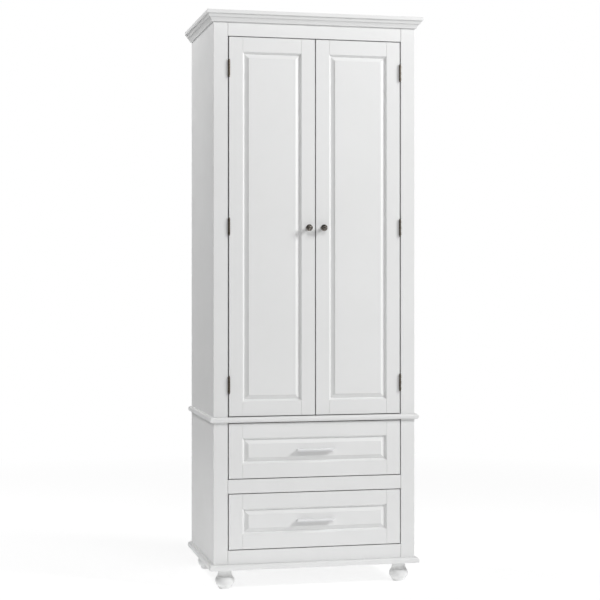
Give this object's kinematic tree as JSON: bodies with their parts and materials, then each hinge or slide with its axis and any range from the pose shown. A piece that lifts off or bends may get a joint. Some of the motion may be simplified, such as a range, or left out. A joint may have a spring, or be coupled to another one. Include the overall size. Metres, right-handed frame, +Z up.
{
  "type": "pantry cabinet",
  "caption": "Tall white pantry cabinet: paired inset raised-panel doors over inset drawers, with crown, bun feet and adjustable shelves.",
  "frame": {"origin": "on the floor, at the middle of the whole cabinet's width and depth", "axes": "+Z up, -Y out of the front, +X to the right seen from the front"},
  "size_m": [0.6128, 0.416, 1.585],
  "materials": {
    "white_paint": "satin white paint over wood, smooth, with fine paint texture",
    "back_board": "thin white-faced board, satin",
    "bare_wood": "clear-lacquered pale birch, satin",
    "dark_bronze": "dark bronze plating, satin, rubbed brighter on the edges",
    "knob_metal": "antique pewter casting, satin",
    "satin_metal": "satin brushed along its length",
    "zinc_steel": "bright zinc plate",
    "nickel": "nickel plate",
    "catch_plastic": "white moulded plastic"
  },
  "bodies": {
    "cabinet": {"feet": "white_paint", "foot_studs": "zinc_steel", "base_board": "white_paint", "middle_board": "white_paint", "top_board": "white_paint", "crown_moulding": "white_paint", "lower_side_left": "white_paint", "lower_side_right": "white_paint", "upper_side_left": "white_paint", "upper_side_right": "white_paint", "lower_stiles": "white_paint", "upper_stiles": "white_paint", "bottom_rail": "white_paint", "drawer_divider_rail": "white_paint", "top_rail": "white_paint", "lower_back_panel": "back_board", "upper_back_panel": "back_board", "shelf_lower": "white_paint", "shelf_middle": "white_paint", "shelf_upper": "white_paint", "shelf_pins": "nickel", "hinge_frame_leaves": "dark_bronze", "hinge_pins": "dark_bronze", "magnetic_catches": "catch_plastic", "runner_battens": "bare_wood", "cabinet_runners": "zinc_steel", "cabinet_screws": "zinc_steel"},
    "upper_runner_middle": {"upper_runner_middles": "zinc_steel"},
    "lower_runner_middle": {"lower_runner_middles": "zinc_steel"},
    "left_door": {"left_door_stiles": "white_paint", "left_door_rails": "white_paint", "left_door_panel": "white_paint", "left_door_knob": "knob_metal", "left_door_hinge_leaves": "dark_bronze", "left_door_strike": "zinc_steel", "left_door_screws": "zinc_steel"},
    "right_door": {"right_door_stiles": "white_paint", "right_door_rails": "white_paint", "right_door_panel": "white_paint", "right_door_knob": "knob_metal", "right_door_hinge_leaves": "dark_bronze", "right_door_strike": "zinc_steel", "right_door_screws": "zinc_steel"},
    "lower_drawer": {"lower_drawer_front_frame": "white_paint", "lower_drawer_front_panel": "white_paint", "lower_drawer_pull": "satin_metal", "lower_drawer_sides": "bare_wood", "lower_drawer_ends": "bare_wood", "lower_drawer_bottom": "bare_wood", "lower_drawer_runners": "zinc_steel", "lower_drawer_screws": "zinc_steel"},
    "upper_drawer": {"upper_drawer_front_frame": "white_paint", "upper_drawer_front_panel": "white_paint", "upper_drawer_pull": "satin_metal", "upper_drawer_sides": "bare_wood", "upper_drawer_ends": "bare_wood", "upper_drawer_bottom": "bare_wood", "upper_drawer_runners": "zinc_steel", "upper_drawer_screws": "zinc_steel"}
  },
  "joints": [
    {"name": "left_door_hinge", "type": "hinge", "parent": "cabinet", "child": "left_door", "pos_m": [-0.2431, -0.187, 0.995], "axis": [0, 0, -1], "range_deg": [0, 180]},
    {"name": "right_door_hinge", "type": "hinge", "parent": "cabinet", "child": "right_door", "pos_m": [0.2431, -0.187, 0.995], "axis": [0, 0, 1], "range_deg": [0, 180]},
    {"name": "upper_drawer_slide", "type": "slide", "parent": "cabinet", "child": "upper_drawer", "axis": [0, -1, 0], "range_m": [0, 0.3]},
    {"name": "lower_drawer_slide", "type": "slide", "parent": "cabinet", "child": "lower_drawer", "axis": [0, -1, 0], "range_m": [0, 0.3]},
    {"name": "upper_runner_slide", "type": "slide", "parent": "cabinet", "child": "upper_runner_middle", "axis": [0, -1, 0], "range_m": [0, 0.15]},
    {"name": "lower_runner_slide", "type": "slide", "parent": "cabinet", "child": "lower_runner_middle", "axis": [0, -1, 0], "range_m": [0, 0.15]}
  ],
  "couplings": [
    {"joint": "upper_runner_slide", "follows": "upper_drawer_slide", "ratio": 0.5},
    {"joint": "lower_runner_slide", "follows": "lower_drawer_slide", "ratio": 0.5}
  ]
}
